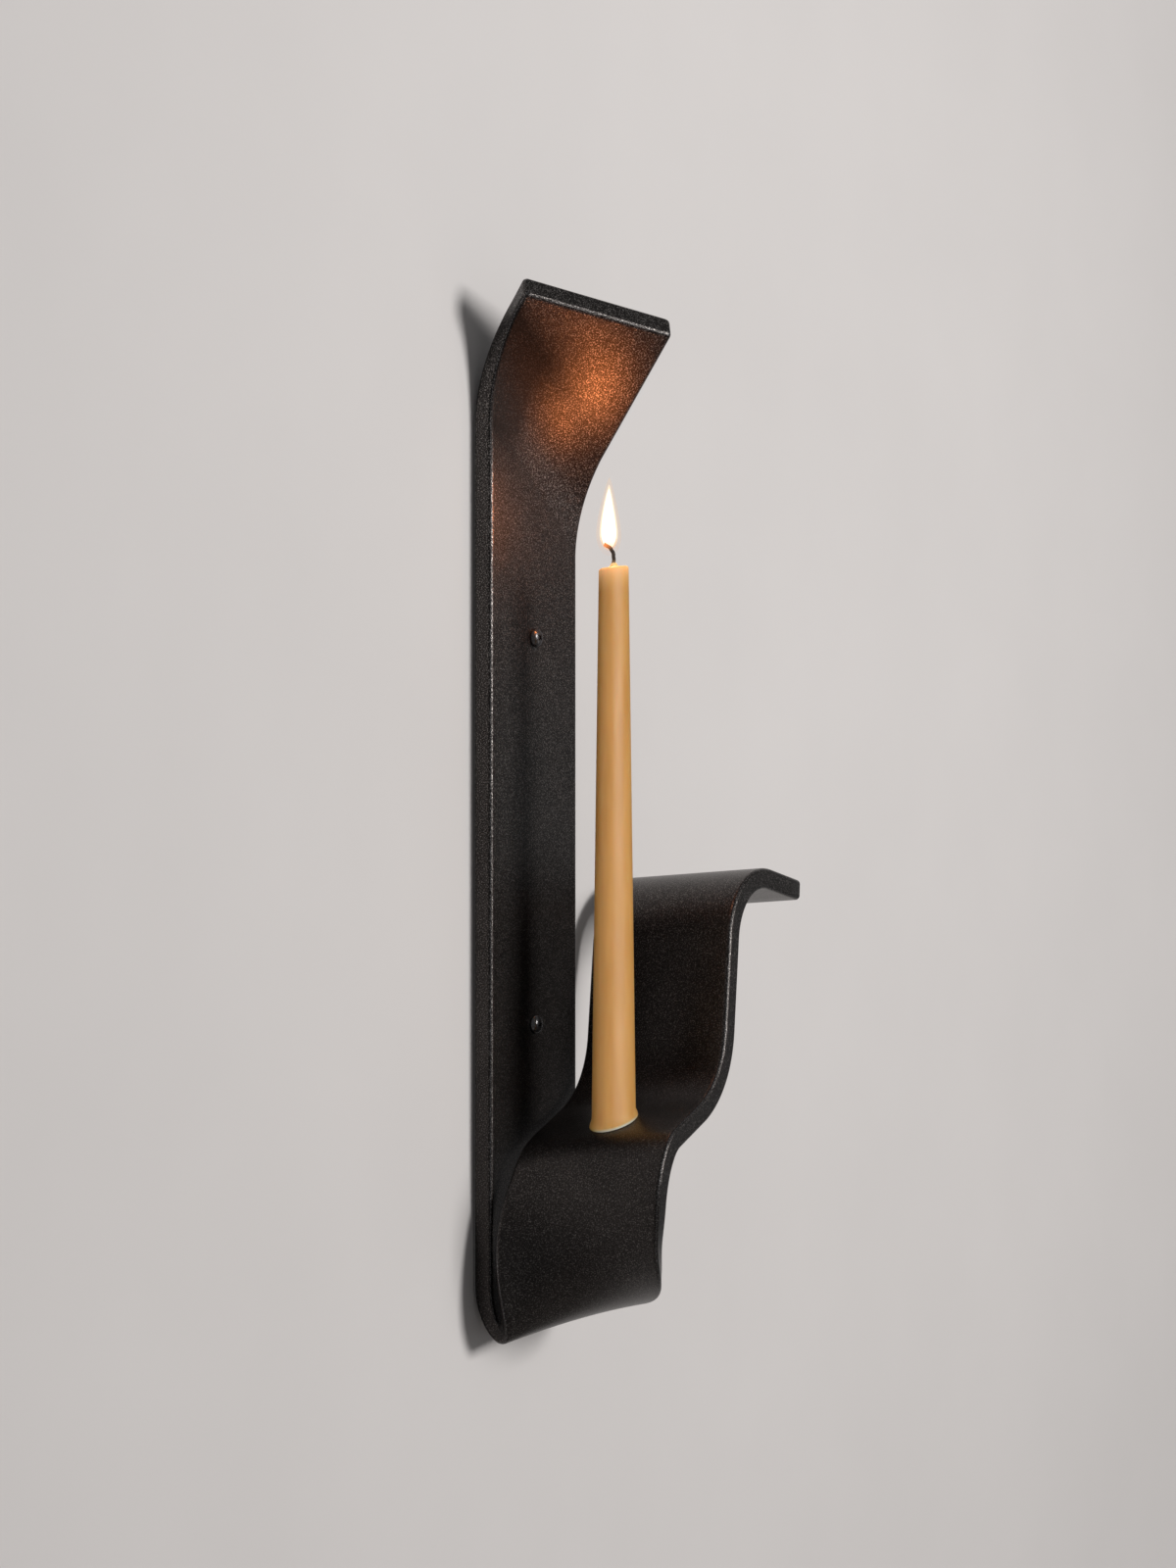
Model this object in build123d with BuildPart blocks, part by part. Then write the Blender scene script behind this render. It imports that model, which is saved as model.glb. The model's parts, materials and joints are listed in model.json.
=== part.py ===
from build123d import *
import os
from math import ceil, cos, radians, sin, tan

# Candle wall light: one flat bar, bent into back plate, hood, fold, shelf and lip.
# The origin is on the wall, midway between the two screws: X to the right, Y into the wall, Z up.

# Flat bar
BAR_WIDTH = 80
BAR_THICK = 10.5
ARRIS_R = 2.2
END_R = 1.4
STATION_GAP = 4
MARCH_STEPS = 8

# Hood: the bar rolled towards the room about a fold line that slants down across it
HOOD_SLANT_ANGLE = 39
HOOD_FOLD_Z = 197
HOOD_R = 48
HOOD_ANGLE = 56
HOOD_FLAT_TOP = 270.5
HOOD_RIGHT_LONGER = 2.5
HOOD_END_ANGLE = 19
HOOD_SQUARE_BELOW = 20

# Fold at the bottom: the bar leaves the wall, turns under and rises again, turned sideways
FOLD_START = 218.4
FOLD_CLEARANCE = 5.4
FOLD_BACK_R = 17.5
FOLD_FRONT_R = 51.5
FOLD_TWIST_LENGTH = 138
FOLD_TURN_ANGLE = 90
BOTTOM_TILT_ANGLE = 9.5
FRONT_TILT_ANGLE = -13
SHELF_TILT_ANGLE = 4

# Front of the bar: lower panel, sloping shelf, upper panel and curled lip
LOWER_PANEL = 12.5
SHELF_R = 25.5
SHELF_PITCH_ANGLE = 68
SHELF_LENGTH = 26.5
NECK_R = 55
PANEL_PITCH_ANGLE = 13
UPPER_PANEL = 47
LIP_R = 37
LIP_PITCH_ANGLE = 101
LIP_LENGTH = 30.5

# Wall screws
SCREW_SPACING = 190
SCREW_HOLE_D = 5
SCREW_D = 4.5
SHANK_D = 3.6
SCREW_IN_WALL = 40
SCREW_POINT = 5
HEAD_D = 9.4
HEAD_H = 3.2
HEAD_RIM_H = 1.4
HEAD_SLOPE_WIDTH = 1.5
RECESS_ACROSS = 5
RECESS_WIDTH = 1.3
RECESS_DEPTH = 1.7

# Spike pressed into the shelf
SPIKE_D = 5
SPIKE_ABOVE_SHELF = 22
SPIKE_STRAIGHT = 5
SPIKE_TIP_R = 0.4
SPIKE_IN_BAR = 6
PRESS_CLEARANCE = 0.03

# Candle
CANDLE_PAST_SHELF_START = 10
CANDLE_HEIGHT = 268
CANDLE_FOOT_D = 21.5
CANDLE_TOP_D = 14.5
CANDLE_TOP_EDGE = 1
WAX_FOOT_D = 24.6
WAX_FOOT_H = 4
WAX_FOOT_TAPER_ANGLE = 22
WAX_CONE_D = 6
WAX_CONE_H = 2.2
SEAT_CLEARANCE = 0.3

# Wick
WICK_D = 2
WICK_ABOVE_SPIKE = 12
WICK_STRAIGHT = 5
WICK_BEND_R = 6.2
WICK_BEND_ANGLE = 76
WICK_LEAN_ANGLE = 121
WICK_CLEARANCE = 0.05


def ease(share):
    """Smooth step from 0 to 1."""
    share = min(max(share, 0), 1)
    return share * share * (3 - 2 * share)


# Pitch of the bar below the plate: it runs down the wall, lies flat at the bottom and rises again
DOWN_ANGLE = 0
FLAT_ANGLE = 90
UP_ANGLE = 180

# Runs of the bar from the wall to the shelf: length of each, and the bar's pitch at its end
FOLD_RUNS = [
    (FOLD_BACK_R * radians(FLAT_ANGLE), FLAT_ANGLE),
    (FOLD_FRONT_R * radians(UP_ANGLE - FLAT_ANGLE), UP_ANGLE),
    (LOWER_PANEL, UP_ANGLE),
    (SHELF_R * radians(SHELF_PITCH_ANGLE), UP_ANGLE + SHELF_PITCH_ANGLE),
]
BOTTOM_AT = FOLD_RUNS[0][0]
FRONT_AT = BOTTOM_AT + FOLD_RUNS[1][0]
SHELF_AT = FRONT_AT + FOLD_RUNS[2][0] + FOLD_RUNS[3][0]
ROOM = Vector(0, -1, 0)


def fold_directions(length, pitch):
    """Directions across and along the bar, at a length past the start of the fold."""
    turn = radians(FOLD_TURN_ANGLE * ease(length / FOLD_TWIST_LENGTH))
    tilt = radians(
        BOTTOM_TILT_ANGLE * ease(length / BOTTOM_AT)
        + (FRONT_TILT_ANGLE - BOTTOM_TILT_ANGLE) * ease((length - BOTTOM_AT) / (FRONT_AT - BOTTOM_AT))
        + (SHELF_TILT_ANGLE - FRONT_TILT_ANGLE) * ease((length - FRONT_AT) / (SHELF_AT - FRONT_AT))
    )
    across = Vector(cos(tilt) * cos(turn), -cos(tilt) * sin(turn), sin(tilt))
    down = Vector(sin(tilt) * cos(turn), -sin(tilt) * sin(turn), -cos(tilt))
    outward = Vector(-sin(turn), -cos(turn), 0)
    along = down * cos(radians(pitch)) + outward * sin(radians(pitch))
    return across, along


def fold_stations():
    """Section planes of the bar from the start of the fold to the start of the shelf."""
    passed, pitch = 0, DOWN_ANGLE
    centre = Vector(0, -BAR_THICK / 2, -FOLD_START)
    stations = [(passed, pitch, centre)]
    for run_length, end_pitch in FOLD_RUNS:
        steps = MARCH_STEPS * ceil(run_length / STATION_GAP)
        for step in range(steps):
            middle = (step + 0.5) / steps
            along = fold_directions(passed + middle * run_length, pitch + middle * (end_pitch - pitch))[1]
            centre = centre + along * (run_length / steps)
            if (step + 1) % MARCH_STEPS == 0:
                done = (step + 1) / steps
                stations.append((passed + done * run_length, pitch + done * (end_pitch - pitch), centre))
        passed, pitch = passed + run_length, end_pitch
    # The left edge of the turned bar clears the back plate where the fold ends
    across = fold_directions(FRONT_AT, UP_ANGLE)[0]
    front = min(stations, key=lambda station: abs(station[0] - FRONT_AT))[2]
    outward = (front - across * (BAR_WIDTH / 2)).Y + BAR_THICK + FOLD_CLEARANCE
    planes = []
    for length, pitch, centre in stations:
        across, along = fold_directions(length, pitch)
        place = centre + ROOM * (outward * ease(length / FRONT_AT))
        planes.append(Plane(place, x_dir=across, z_dir=along))
    return planes


# Up the plate, square to the hood's fold line
FOLD_UP = Vector(sin(radians(HOOD_SLANT_ANGLE)), 0, cos(radians(HOOD_SLANT_ANGLE)))


def rolled(x, z):
    """Place in the middle of the bar's thickness, and room-side normal, of a point of the flat bar."""
    past_fold = FOLD_UP.dot(Vector(x + BAR_WIDTH / 2, 0, z - HOOD_FOLD_Z))
    angle = min(max(past_fold / HOOD_R, 0), radians(HOOD_ANGLE))
    straight = max(past_fold - HOOD_R * radians(HOOD_ANGLE), 0)
    up = HOOD_R * sin(angle) + straight * cos(angle) - max(past_fold, 0)
    out = HOOD_R * (1 - cos(angle)) + straight * sin(angle)
    place = Vector(x, -BAR_THICK / 2, z) + FOLD_UP * up + ROOM * out
    return place, ROOM * cos(angle) - FOLD_UP * sin(angle)


def ruling(left_z, right_z):
    """Section plane along a straight line across the rolled bar, and the length of that line."""
    left, facing = rolled(-BAR_WIDTH / 2, left_z)
    right = rolled(BAR_WIDTH / 2, right_z)[0]
    across = (right - left).normalized()
    return Plane((left + right) / 2, x_dir=across, z_dir=across.cross(facing)), (right - left).length


FOLD_DROP = BAR_WIDTH * tan(radians(HOOD_SLANT_ANGLE))
ROLL_STATIONS = ceil(HOOD_R * radians(HOOD_ANGLE) / STATION_GAP)
SQUARE_Z = HOOD_FOLD_Z - FOLD_DROP - HOOD_SQUARE_BELOW
roll_rulings = []
for station in range(ROLL_STATIONS + 1):
    angle = radians(HOOD_ANGLE) * station / ROLL_STATIONS
    left_z = HOOD_FOLD_Z + HOOD_R * angle / cos(radians(HOOD_SLANT_ANGLE))
    roll_rulings.append(ruling(left_z, left_z - FOLD_DROP))

# The hood's end is cut on a slant through the thickness, longer on its upper side
END_LEFT_Z = HOOD_FLAT_TOP - BAR_THICK * tan(radians(HOOD_END_ANGLE)) / 2
end_square, end_width = ruling(END_LEFT_Z, END_LEFT_Z + HOOD_RIGHT_LONGER)
end_facing = end_square.z_dir * cos(radians(HOOD_END_ANGLE)) - end_square.y_dir * sin(radians(HOOD_END_ANGLE))
end_plane = Plane(end_square.origin, x_dir=end_square.x_dir, z_dir=end_facing)

fold_planes = fold_stations()
shelf_start = fold_planes[-1]

# The candle stands upright where its axis meets the upper face of the shelf
seat_normal = shelf_start.x_dir.cross(shelf_start.z_dir)
seat_point = shelf_start.origin + shelf_start.z_dir * CANDLE_PAST_SHELF_START + seat_normal * (BAR_THICK / 2)
seat_plane = Plane(seat_point, x_dir=shelf_start.x_dir, z_dir=seat_normal)
upright = Plane(seat_point, x_dir=(1, 0, 0), z_dir=(0, -1, 0))
candle_axis = Axis(seat_point, (0, 0, 1))

with BuildPart() as bent_bar:
    with BuildSketch(Plane.XY.offset(-FOLD_START)):
        with Locations((0, -BAR_THICK / 2)):
            RectangleRounded(BAR_WIDTH, BAR_THICK, ARRIS_R)
    extrude(amount=FOLD_START + SQUARE_Z)
    for plane in fold_planes:
        with BuildSketch(plane):
            RectangleRounded(BAR_WIDTH, BAR_THICK, ARRIS_R)
    loft()
    with BuildLine(Plane(shelf_start.origin, x_dir=shelf_start.z_dir, z_dir=shelf_start.x_dir)):
        shelf = Line((0, 0), (SHELF_LENGTH, 0))
        neck = JernArc(shelf @ 1, shelf % 1, NECK_R, SHELF_PITCH_ANGLE - PANEL_PITCH_ANGLE)
        panel = Line(neck @ 1, neck @ 1 + (neck % 1) * UPPER_PANEL)
        lip = JernArc(panel @ 1, panel % 1, LIP_R, PANEL_PITCH_ANGLE - LIP_PITCH_ANGLE)
        Line(lip @ 1, lip @ 1 + (lip % 1) * LIP_LENGTH)
    with BuildSketch(shelf_start):
        RectangleRounded(BAR_WIDTH, BAR_THICK, ARRIS_R)
    sweep()
    for plane, length in (ruling(SQUARE_Z, SQUARE_Z), roll_rulings[0]):
        with BuildSketch(plane):
            RectangleRounded(length, BAR_THICK, ARRIS_R)
    loft(ruled=True)
    for plane, length in roll_rulings:
        with BuildSketch(plane):
            RectangleRounded(length, BAR_THICK, ARRIS_R)
    loft()
    with BuildSketch(roll_rulings[-1][0]):
        RectangleRounded(roll_rulings[-1][1], BAR_THICK, ARRIS_R)
    with BuildSketch(end_plane):
        RectangleRounded(end_width, BAR_THICK / cos(radians(HOOD_END_ANGLE)), ARRIS_R)
    loft(ruled=True)
    with BuildSketch(Plane.XZ):
        with GridLocations(0, SCREW_SPACING, 1, 2):
            Circle(SCREW_HOLE_D / 2)
    extrude(amount=BAR_THICK, mode=Mode.SUBTRACT)
    with BuildSketch(Plane.XY.offset(seat_point.Z - SPIKE_IN_BAR)):
        with Locations((seat_point.X, seat_point.Y)):
            Circle(SPIKE_D / 2 + PRESS_CLEARANCE)
    extrude(amount=SPIKE_IN_BAR + SPIKE_D, mode=Mode.SUBTRACT)
    fillet(bent_bar.faces().sort_by_distance(end_plane.origin)[0].edges(), END_R)
    fillet(bent_bar.faces().filter_by(GeomType.PLANE).sort_by(Axis.X)[-1].edges(), END_R)
bent_bar.part.label = "bent_bar"

with BuildPart() as candle_spike:
    with BuildSketch(upright):
        with BuildLine():
            Polyline(
                (0, -SPIKE_IN_BAR),
                (SPIKE_D / 2, -SPIKE_IN_BAR),
                (SPIKE_D / 2, SPIKE_STRAIGHT),
                (SPIKE_TIP_R, SPIKE_ABOVE_SHELF),
                (0, SPIKE_ABOVE_SHELF),
                close=True,
            )
        make_face()
    revolve(axis=candle_axis)
candle_spike.part.label = "candle_spike"

# Bores of the candle: one that follows the spike, and one for the wick above it
WICK_FOOT = SPIKE_ABOVE_SHELF + WICK_ABOVE_SPIKE
SPIKE_BORE_R = SPIKE_D / 2 + SEAT_CLEARANCE
SPIKE_BORE_TOP = SPIKE_ABOVE_SHELF + SEAT_CLEARANCE

with BuildPart() as candle:
    with BuildSketch(upright):
        with BuildLine():
            Polyline(
                (0, -WAX_FOOT_D / 2),
                (CANDLE_FOOT_D / 2, -WAX_FOOT_D / 2),
                (CANDLE_FOOT_D / 2, 0),
                (CANDLE_TOP_D / 2, CANDLE_HEIGHT),
                (0, CANDLE_HEIGHT),
                close=True,
            )
        make_face()
    revolve(axis=candle_axis)
    chamfer(candle.edges().sort_by(Axis.Z)[-1], CANDLE_TOP_EDGE)
    with BuildSketch(upright):
        with BuildLine():
            Polyline(
                (0, CANDLE_HEIGHT - CANDLE_TOP_EDGE),
                (WAX_CONE_D / 2, CANDLE_HEIGHT - CANDLE_TOP_EDGE),
                (WAX_CONE_D / 2, CANDLE_HEIGHT),
                (WICK_D / 2 + WICK_CLEARANCE, CANDLE_HEIGHT + WAX_CONE_H),
                (0, CANDLE_HEIGHT + WAX_CONE_H),
                close=True,
            )
        make_face()
    revolve(axis=candle_axis)
    with BuildSketch(seat_plane):
        Circle(WAX_FOOT_D / 2)
    extrude(amount=WAX_FOOT_H, taper=WAX_FOOT_TAPER_ANGLE)
    with BuildSketch(upright):
        with BuildLine():
            Polyline(
                (0, -WAX_FOOT_D),
                (SPIKE_BORE_R, -WAX_FOOT_D),
                (SPIKE_BORE_R, SPIKE_STRAIGHT + SEAT_CLEARANCE),
                (SPIKE_TIP_R + SEAT_CLEARANCE, SPIKE_BORE_TOP),
                (0, SPIKE_BORE_TOP),
                close=True,
            )
        make_face()
    revolve(axis=candle_axis, mode=Mode.SUBTRACT)
    with BuildSketch(Plane.XY.offset(seat_point.Z + WICK_FOOT)):
        with Locations((seat_point.X, seat_point.Y)):
            Circle(WICK_D / 2 + WICK_CLEARANCE)
    extrude(amount=CANDLE_HEIGHT, mode=Mode.SUBTRACT)
    add(bent_bar.part.moved(Location((0, 0, SEAT_CLEARANCE))), mode=Mode.SUBTRACT)
    add(candle.solids().sort_by(SortBy.VOLUME)[-1], mode=Mode.REPLACE)
candle.part.label = "candle"

# The wick's upper end bends over sideways
wick_lean = Plane(
    seat_point,
    x_dir=(cos(radians(WICK_LEAN_ANGLE)), sin(radians(WICK_LEAN_ANGLE)), 0),
    z_dir=(sin(radians(WICK_LEAN_ANGLE)), -cos(radians(WICK_LEAN_ANGLE)), 0),
)

with BuildPart() as wick:
    with BuildLine(wick_lean):
        stem = Line((0, WICK_FOOT), (0, CANDLE_HEIGHT + WICK_STRAIGHT))
        JernArc(start=stem @ 1, tangent=stem % 1, radius=WICK_BEND_R, arc_size=-WICK_BEND_ANGLE)
    with BuildSketch(Plane.XY.offset(seat_point.Z + WICK_FOOT)):
        with Locations((seat_point.X, seat_point.Y)):
            Circle(WICK_D / 2)
    sweep()
wick.part.label = "wick"

with BuildPart() as wall_screws:
    for height in (-SCREW_SPACING / 2, SCREW_SPACING / 2):
        with BuildSketch(Plane((0, 0, height), x_dir=(0, 1, 0), z_dir=(1, 0, 0))):
            with BuildLine():
                Polyline(
                    (-BAR_THICK - HEAD_H, 0),
                    (SCREW_IN_WALL, 0),
                    (SCREW_IN_WALL - SCREW_POINT, SCREW_D / 2),
                    (0, SCREW_D / 2),
                    (0, SHANK_D / 2),
                    (-BAR_THICK, SHANK_D / 2),
                    (-BAR_THICK, HEAD_D / 2),
                    (-BAR_THICK - HEAD_H, HEAD_D / 2),
                    close=True,
                )
            make_face()
        revolve(axis=Axis((0, 0, height), (0, 1, 0)))
    chamfer(wall_screws.edges().group_by(Axis.Y)[0], HEAD_H - HEAD_RIM_H, HEAD_SLOPE_WIDTH)
    with BuildSketch(Plane.XZ.offset(BAR_THICK + HEAD_H)):
        with GridLocations(0, SCREW_SPACING, 1, 2):
            Rectangle(RECESS_ACROSS, RECESS_WIDTH)
            Rectangle(RECESS_WIDTH, RECESS_ACROSS)
    extrude(amount=-RECESS_DEPTH, mode=Mode.SUBTRACT)
wall_screws.part.label = "wall_screws"

os.makedirs("parts", exist_ok=True)
for piece in (bent_bar, candle_spike, candle, wick, wall_screws):
    export_step(piece.part, f"parts/{piece.part.label}.step")
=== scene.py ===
import json
from math import ceil, cos, pi, radians, sin, tan

import bmesh
import bpy
from mathutils import Matrix, Vector
from mathutils.bvhtree import BVHTree

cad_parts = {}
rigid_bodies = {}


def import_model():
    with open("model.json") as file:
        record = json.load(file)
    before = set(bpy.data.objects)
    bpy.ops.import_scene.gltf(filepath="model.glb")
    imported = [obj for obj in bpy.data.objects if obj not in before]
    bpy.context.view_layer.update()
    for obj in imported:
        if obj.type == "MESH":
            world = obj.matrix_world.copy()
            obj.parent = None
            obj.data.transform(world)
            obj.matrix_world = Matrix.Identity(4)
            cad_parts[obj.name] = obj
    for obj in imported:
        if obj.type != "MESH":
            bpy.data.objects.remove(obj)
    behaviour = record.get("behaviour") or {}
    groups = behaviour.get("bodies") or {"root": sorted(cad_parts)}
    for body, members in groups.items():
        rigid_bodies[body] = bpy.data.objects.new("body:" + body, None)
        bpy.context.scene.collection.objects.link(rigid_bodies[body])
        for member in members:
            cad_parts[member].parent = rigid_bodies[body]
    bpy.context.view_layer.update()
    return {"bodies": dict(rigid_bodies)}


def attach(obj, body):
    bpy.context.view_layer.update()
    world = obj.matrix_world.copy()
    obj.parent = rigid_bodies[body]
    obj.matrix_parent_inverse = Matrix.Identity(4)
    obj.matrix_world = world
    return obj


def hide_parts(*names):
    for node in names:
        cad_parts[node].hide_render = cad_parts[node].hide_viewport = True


# Candle wall light: a blackened bar bent into plate, hood, fold, shelf and lip, with a lit taper.
# Metres, in the part's own frame: X to the right, Y into the wall, Z up.
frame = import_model()

# Flat bar
BAR_WIDTH = 0.080
BAR_THICK = 0.0105
ARRIS_R = 0.0022
ARRIS_STEPS = 6
END_R = 0.0019
END_STEPS = 4
ACROSS_CUTS = 19
SIDE_CUTS = 2
STATION_GAP = 0.0022
STRAIGHT_GAP = 0.012
PLATE_STEPS = 24
BAR_SHARP = radians(50)
END_RUBBED_AT = 0.3
END_RUBBED_REACH = 0.6
SAME_PLACE = 1e-7

# Hood
HOOD_SLANT = radians(39)
HOOD_FOLD_Z = 0.197
HOOD_R = 0.048
HOOD_ANGLE = radians(56)
HOOD_FLAT_TOP = 0.2705
HOOD_RIGHT_LONGER = 0.0025
HOOD_END_ANGLE = radians(19)
HOOD_SQUARE_BELOW = 0.020

# Fold, from the wall to the start of the shelf
FOLD_START = 0.2184
FOLD_CLEARANCE = 0.0054
FOLD_BACK_R = 0.0175
FOLD_FRONT_R = 0.0515
FOLD_TWIST_LENGTH = 0.138
FOLD_TURN = radians(90)
BOTTOM_TILT = radians(9.5)
FRONT_TILT = radians(-13)
SHELF_TILT = radians(4)
LOWER_PANEL = 0.0125
SHELF_R = 0.0255
SHELF_PITCH = radians(68)
FOLD_MARCH = 4

# Front, from the shelf to the lip
SHELF_LENGTH = 0.0265
NECK_R = 0.055
PANEL_PITCH = radians(13)
UPPER_PANEL = 0.047
LIP_R = 0.037
LIP_PITCH = radians(101)
LIP_LENGTH = 0.0305

# Screws
SCREW_HEIGHTS = (-0.095, 0.095)
SCREW_HOLE_R = 0.0025
THREAD_R = 0.00225
THREAD_ROOT_R = 0.0016
THREAD_PITCH = 0.0018
SCREW_IN_WALL = 0.040
SCREW_POINT = 0.005
HEAD_H = 0.0032
RECESS_R = 0.0025
RECESS_HALF_WIDTH = 0.00062
RECESS_DEPTH = 0.0017
CUTTER_STEPS = 48
SCREW_TURNS = (radians(20), radians(52))
RECESS_NARROWING = 0.55
THREAD_STEPS = 20
THREAD_FLANK = 0.4
THREAD_SHORT = 1.5
THREAD_START = 0.75
THREAD_RUN_IN = 8
SCREW_TIP = 0.04
SCREW_TAPER = 0.8
SCREW_SHARP = radians(35)
HEAD_PROFILE = [
    (0, 0.0032), (0.0010, 0.00317), (0.0020, 0.0030), (0.0030, 0.00268), (0.0038, 0.0022),
    (0.0044, 0.0015), (0.0047, 0.0008), (0.0047, 0.0002), (0.0046, 0),
]
SHANK_PROFILE = [(0.0018, 0), (0.0018, -0.0100), (0.0016, -0.0107), (0.0016, -0.0455), (0, -0.0505)]

# Spike
SPIKE_R = 0.0025
SPIKE_ABOVE = 0.022
SPIKE_STRAIGHT = 0.005
SPIKE_TIP_R = 0.0004
SPIKE_IN_BAR = 0.006
PRESS_CLEARANCE = 0.00003
SPIKE_CHAMFER = 0.0004
SPIKE_BLEND = 0.0003
SPIKE_SHOULDER = 0.985
SPIKE_TIP_ROUND = (0.6, 0.00006)
SPIKE_STEPS = 40
SPIKE_SHARP = radians(40)

# Candle and wick
CANDLE_PAST_SHELF_START = 0.01
CANDLE_HEIGHT = 0.268
CANDLE_FOOT_R = 0.01075
CANDLE_TOP_R = 0.00725
WAX_FOOT_R = 0.0118
CANDLE_TOP_EDGE = 0.0012
CANDLE_TOP_MELT = 0.006
CANDLE_TOP_SLOPE = 0.11
CANDLE_SETTLED = 0.020
CANDLE_TOP_Z = 0.1275
CANDLE_GLOW = 0.014
CANDLE_RINGS = 44
CANDLE_STEPS = 72
CANDLE_EDGE_STEPS = 4
CANDLE_CROWDING = 2.2
CANDLE_SHARP = radians(60)
WAX_FOOT_RINGS = (0.5, 0.8, 0.97)
WAX_FOOT_H = 0.004
WAX_CONE_R = 0.003
WAX_CONE_H = 0.0022
WAX_DISH = 0.0004
WAX_DISH_AT = 0.6
WAX_WAIST = (0.62, 0.4)
WAX_LIP = (0.0003, 0.9)
SEAT_CLEARANCE = 0.0003
WICK_R = 0.001
WICK_STRAIGHT = 0.005
WICK_BEND_R = 0.0062
WICK_BEND = radians(76)
WICK_LEAN = radians(121)
WICK_FOOT = 0.034
WICK_CLEARANCE = 0.00005
WICK_STEPS = 24
WICK_STRANDS = 3
WICK_GROOVE = 0.22
WICK_GAP = 0.0006
WICK_TWIST = radians(22)
WICK_TIP_STEPS = 3
WICK_TIP_SINK = 0.0005
WICK_TIP_LEAST = 0.2
WICK_CHARRED_AT = CANDLE_HEIGHT + WAX_CONE_H - WICK_FOOT
WICK_LENGTH = CANDLE_HEIGHT + WICK_STRAIGHT - WICK_FOOT + WICK_BEND_R * WICK_BEND

# Flame
FLAME_FOOT_Z = 0.1362
FLAME_ASIDE = 0.0022
FLAME_BEHIND = 0.0028
FLAME_SWAY = 0.0003
FLAME_STEPS = 32
FLAME_CLEAR_FOOT = 0.006
FLAME_PROFILE = [
    (0, 0), (0.0020, 0.0008), (0.0033, 0.0030), (0.0040, 0.0060), (0.0041, 0.0085),
    (0.0039, 0.0115), (0.0033, 0.0160), (0.0025, 0.0205), (0.0016, 0.0250), (0.0008, 0.0285),
    (0, 0.0310),
]
FLAME_HEIGHT = FLAME_PROFILE[-1][1]
FLAME_GROWS_FROM = 0.4
FLAME_TALLER = 0.5
FLAME_CLEAR_SHARE = 0.25
# From the inside out: piece, material, size, colours at foot and tip, strength, thickness
FLAME_LAYERS = (
    ("flame_core", "flame_white", 0.90, (1.0, 0.62, 0.30, 1), (1.0, 0.96, 0.88, 1), 2.2, 0.95),
    ("flame_body", "flame_yellow", 1.10, (1.0, 0.45, 0.16, 1), (1.0, 0.83, 0.58, 1), 1.2, 0.50),
    ("flame_halo", "flame_amber", 1.50, (1.0, 0.42, 0.15, 1), (1.0, 0.66, 0.40, 1), 1.0, 0.12),
)
# Its light, from the foot of the flame
FLAME_MIDDLE = (0, 0, 0.014)
FLAME_LOW = (0.0057, -0.0134, 0.014)
FLAME_HIGH = (-0.002, -0.015, 0.030)
FLAME_GLOW_R = 0.006
FLAME_LOW_POWER = 0.10
FLAME_HIGH_POWER = 0.095
FLAME_SPILL_POWER = 0.003
FLAME_ON_WAX_POWER = 0.05
FLAME_COLOUR = (1.0, 0.285, 0.072)
FLAME_ON_WAX_COLOUR = (1.0, 0.74, 0.46)

# Camera, lamps and room
PHOTO_HEIGHT = 1600
SENSOR = 36
VIEW_TURN = radians(59)
VIEW_DISTANCE = 1.7
VIEW_SCALE = 2070 / PHOTO_HEIGHT
VIEW_SIDE = 0.03507
VIEW_HEIGHT = -0.0058
VIEW_RISE = 60 / PHOTO_HEIGHT
KEY_TURN = radians(8)
KEY_RISE = radians(13.5)
KEY_DISTANCE = 2.4
KEY_SIZE = (0.75, 0.75)
KEY_POWER = 49
LOW_TURN = radians(42)
LOW_RISE = radians(-15)
LOW_DISTANCE = 2.5
LOW_SIZE = (0.80, 0.80)
LOW_POWER = 1.1
FILL_TURN = radians(-26)
FILL_RISE = radians(5)
FILL_DISTANCE = 2.0
FILL_SIZE = (2.2, 0.90)
FILL_POWER = 40
WALL_COLOUR = (0.640, 0.615, 0.608, 1)
FLOOR_COLOUR = (0.480, 0.460, 0.445, 1)
WALL_GAP = 0.0006
WALL_CLEAR = WALL_GAP * 4
ROOM_SIZE = 3.0
ROOM_FLOOR_DROP = 2.0
WINDOW_COLOUR = (1.0, 0.985, 0.965)
ROOM_COLOUR = (0.98, 0.99, 1.0, 1)
ROOM_STRENGTH = 0.18

# Surfaces: grain is fine and broad per metre, bump is strength and distance
BLACK = (0, 0, 0, 1)
NOISE_RANGE = (0.3, 0.7)
PIT_DEPTH = 0.35

IRON_SHOWN = (0.03, 0.028, 0.027, 1)
IRON_GRAIN = (1600, 38)
IRON_PATINA = ((0.016, 0.0136, 0.0128, 1), (0.026, 0.0224, 0.0212, 1))
IRON_METALLIC = 0.82
IRON_ROUGH = (0.29, 0.37)
IRON_BUMP = (0.9, 0.00012)
SPARKLE_COLOUR = (0.27, 0.249, 0.238, 1)
SPARKLE_GRAINS = (0.35, 0.88)
SPARKLE_POWER = 2.7
SPARKLE_HEIGHTS = (-0.160, 0.160)
SPARKLE_LOW = 0.36
# Painted shade on the left of the hood's room side, where the flame's glow falls off
PAINTED_SHADE_COLOUR = (0.004, 0.0034, 0.0032, 1)
SHADE_ACROSS = (0.008, -0.020)
SHADE_HEIGHTS = (0.165, 0.195)
SHADE_SHARE = 0.86
DULL_ROUGHER = 0.24
RUBBED_COLOUR = (0.20, 0.20, 0.21, 1)
RUBBED_ARRIS = 1.2
RUBBED_GRAIN = 0.35
RUBBED_RANGE = (1.2, 1.65)

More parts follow.
